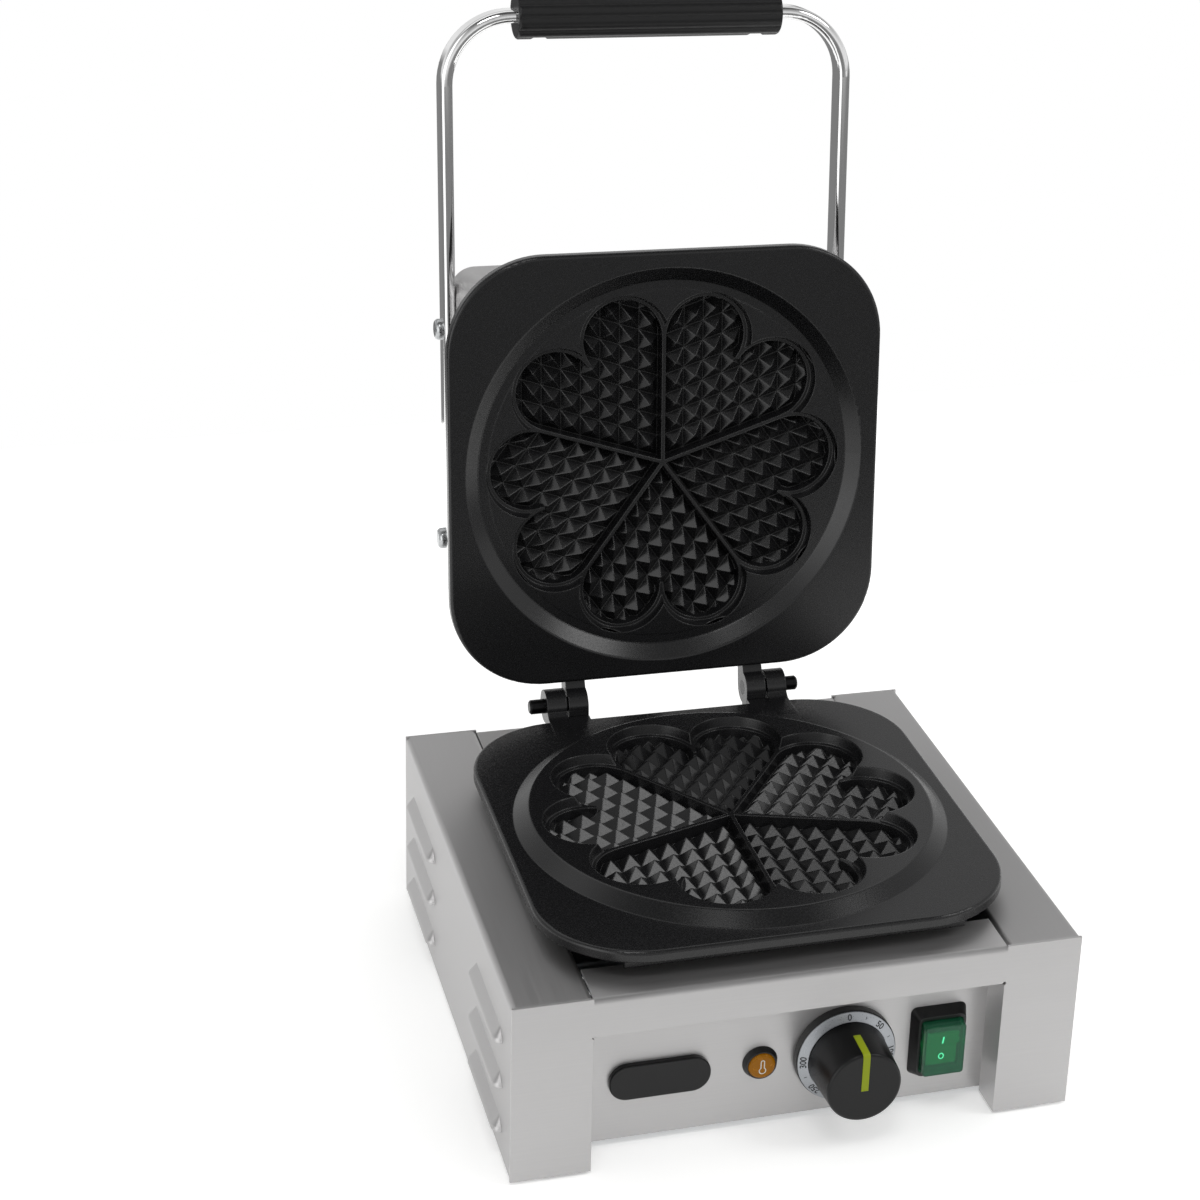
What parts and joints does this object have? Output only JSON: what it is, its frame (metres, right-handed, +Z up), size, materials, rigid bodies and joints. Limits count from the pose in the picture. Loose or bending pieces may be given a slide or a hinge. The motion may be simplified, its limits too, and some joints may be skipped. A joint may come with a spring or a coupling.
{
  "type": "heart waffle maker",
  "caption": "Countertop waffle maker with a stainless base, a flower of studded heart moulds in two hinged black plates, a swing-up lid with loop handle, a dial and a rocker switch.",
  "frame": {"origin": "middle of the base's footprint, on the plane that the rubber feet stand on", "axes": "+X to the right seen from the controls, +Y to the back, towards the hinge, +Z up"},
  "size_m": [0.2572, 0.3244, 0.4323],
  "materials": {
    "brushed_stainless": "brushed stainless sheet",
    "zinc_sheet": "zinc plated sheet",
    "screw_steel": "plated screws",
    "nonstick_casting": "cast aluminium with black non-stick coating",
    "bright_pin": "turned bright steel",
    "element_steel": "heat-tinted steel sheath",
    "mineral_wool": "mineral wool board",
    "polished_bar": "polished stainless bar",
    "grip_black": "ribbed black plastic",
    "knob_black": "satin black plastic",
    "pointer_green": "yellow-green inlay",
    "control_black": "black plastic",
    "gland_black": "black nylon",
    "scale_silver": "satin anodised ring",
    "badge_charcoal": "plain dark badge",
    "lamp_amber": "clear amber lens",
    "boot_green": "clear green flexible boot",
    "rocker_green": "green translucent rocker",
    "terminal_white": "glazed ceramic",
    "foot_rubber": "soft rubber"
  },
  "bodies": {
    "base": {"side_panel_left": "brushed_stainless", "side_panel_right": "brushed_stainless", "front_panel": "brushed_stainless", "rear_panel": "brushed_stainless", "control_panel": "brushed_stainless", "bottom_plate": "zinc_sheet", "plate_rail_front": "zinc_sheet", "plate_rail_rear": "zinc_sheet", "heat_shield": "zinc_sheet", "lower_clamp_plate": "zinc_sheet", "bulb_clip": "zinc_sheet", "bottom_screws": "screw_steel", "rail_screws": "screw_steel", "plate_screws": "screw_steel", "lower_clamp_screws": "screw_steel", "lower_plate": "nonstick_casting", "hinge_pin_left": "bright_pin", "hinge_pin_right": "bright_pin", "lower_heating_element": "element_steel", "capillary_bulb": "element_steel", "insulation_pad": "mineral_wool", "dial_backing": "control_black", "lamp_bezel": "control_black", "switch_body": "control_black", "lamp_body": "control_black", "thermostat_body": "control_black", "thermal_cutout": "control_black", "mains_gland": "gland_black", "base_lead_gland": "gland_black", "scale_ring": "scale_silver", "badge_plate": "badge_charcoal", "lamp_lens": "lamp_amber", "switch_boot": "boot_green", "terminal_block": "terminal_white", "rubber_feet": "foot_rubber"},
    "lid": {"upper_plate": "nonstick_casting", "upper_heating_element": "element_steel", "upper_clamp_plate": "zinc_sheet", "upper_clamp_screws": "screw_steel", "lid_cover": "brushed_stainless", "cover_standoffs": "zinc_sheet", "cover_screws": "screw_steel", "lid_insulation_pad": "mineral_wool", "lid_lead_gland": "gland_black", "handle_bar": "polished_bar", "handle_screws": "screw_steel", "handle_grip": "grip_black", "grip_screws": "screw_steel"},
    "knob": {"knob": "knob_black", "knob_pointer": "pointer_green", "thermostat_shaft": "bright_pin"},
    "rocker": {"rocker": "rocker_green"}
  },
  "joints": [
    {"name": "lid_hinge", "type": "hinge", "parent": "base", "child": "lid", "pos_m": [0, 0.1096, 0.1015], "axis": [1, 0, 0], "range_deg": [0, 94.8]},
    {"name": "knob_turn", "type": "hinge", "parent": "base", "child": "knob", "pos_m": [0.0251, -0.105, 0.0325], "axis": [0, 1, 0], "range_deg": [0, 270]},
    {"name": "rocker_tip", "type": "hinge", "parent": "base", "child": "rocker", "pos_m": [0.0681, -0.1079, 0.0325], "axis": [-1, 0, 0], "range_deg": [0, 16]}
  ]
}
